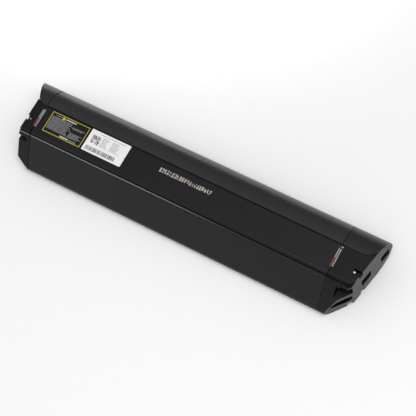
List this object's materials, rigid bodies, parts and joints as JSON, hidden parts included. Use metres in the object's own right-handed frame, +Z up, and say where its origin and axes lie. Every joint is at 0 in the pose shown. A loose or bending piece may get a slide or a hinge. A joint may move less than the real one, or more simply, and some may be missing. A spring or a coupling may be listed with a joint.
{
  "type": "battery pack",
  "caption": "Long black frame battery pack: slanted near face, half-round far cover, angled plastic end caps with sockets, lock slot, charge port and power button.",
  "frame": {"origin": "centre of the flat bottom face of the overall box", "axes": "+X along the pack to the socket end, +Y to the half-round cover, +Z up from the flat bottom to the label face"},
  "size_m": [0.4559, 0.0983, 0.0589],
  "materials": {
    "anodised_black": "satin black anodised aluminium",
    "black_plastic": "fine-textured black moulding",
    "black_rubber": "matt black rubber",
    "label_film": "black printed film with a yellow border",
    "label_paper": "white printed label",
    "seal_film": "dark seal film with red and white lines",
    "screw_steel": "zinc plated steel",
    "cell_wrap": "blue shrink wrap",
    "holder_plastic": "grey moulding",
    "nickel": "nickel strip",
    "circuit_board": "green solder mask",
    "heat_spreader": "bare aluminium plate",
    "contact_brass": "plated brass",
    "red_silicone": "red silicone wire",
    "black_silicone": "black silicone wire",
    "harness_sleeve": "amber heat-resistant sleeve",
    "grey_foam": "closed-cell foam",
    "gauge_plastic": "smoked light window"
  },
  "bodies": {
    "root": {"housing": "anodised_black", "side_cover": "anodised_black", "end_cap_left": "black_plastic", "end_cap_right": "black_plastic", "cover_end_left": "black_plastic", "cover_end_right": "black_plastic", "gasket_left": "black_rubber", "gasket_right": "black_rubber", "seam_strip_top": "black_rubber", "seam_strip_bottom": "black_rubber", "rating_label": "label_paper", "notice_label": "label_film", "seal_sticker_left": "seal_film", "seal_sticker_right": "seal_film", "bms_board": "circuit_board", "bms_heat_plate": "heat_spreader", "fuse": "screw_steel", "temperature_sensor": "black_rubber", "foam_pad": "grey_foam", "balance_harness": "harness_sleeve", "lead_positive": "red_silicone", "lead_negative": "black_silicone", "terminal_block_positive": "black_plastic", "terminal_block_negative": "black_plastic", "contact_positive": "contact_brass", "contact_negative": "contact_brass", "charge_socket": "black_plastic", "charge_pin": "contact_brass", "flap_hinge_pin": "screw_steel", "gauge_board": "circuit_board", "gauge_lens": "gauge_plastic", "cap_screw_left_1": "screw_steel", "cap_screw_left_2": "screw_steel", "cap_screw_left_3": "screw_steel", "cap_screw_left_4": "screw_steel", "cap_screw_right_1": "screw_steel", "cap_screw_right_2": "screw_steel", "cap_screw_right_3": "screw_steel", "cap_screw_right_4": "screw_steel", "cell_block_1": "cell_wrap", "cell_block_2": "cell_wrap", "cell_block_3": "cell_wrap", "cell_block_4": "cell_wrap", "cell_block_5": "cell_wrap", "cell_holder_1": "holder_plastic", "nickel_sheet_1": "nickel", "cell_holder_2": "holder_plastic", "nickel_sheet_2": "nickel", "cell_holder_3": "holder_plastic", "nickel_sheet_3": "nickel", "cell_holder_4": "holder_plastic", "nickel_sheet_4": "nickel", "cell_holder_5": "holder_plastic", "nickel_sheet_5": "nickel", "cell_holder_6": "holder_plastic", "nickel_sheet_6": "nickel"},
    "power_button": {"power_button": "black_rubber"},
    "charge_flap": {"charge_flap": "black_rubber"}
  },
  "joints": [
    {"name": "power_button_press", "type": "slide", "parent": "root", "child": "power_button", "axis": [1, 0, 0], "range_m": [0, 0.0012], "stiffness_N_per_m": 400},
    {"name": "charge_flap_hinge", "type": "hinge", "parent": "root", "child": "charge_flap", "pos_m": [-0.2133, 0.0132, 0.028], "axis": [0, 0, -1], "range_deg": [0, 120]}
  ]
}
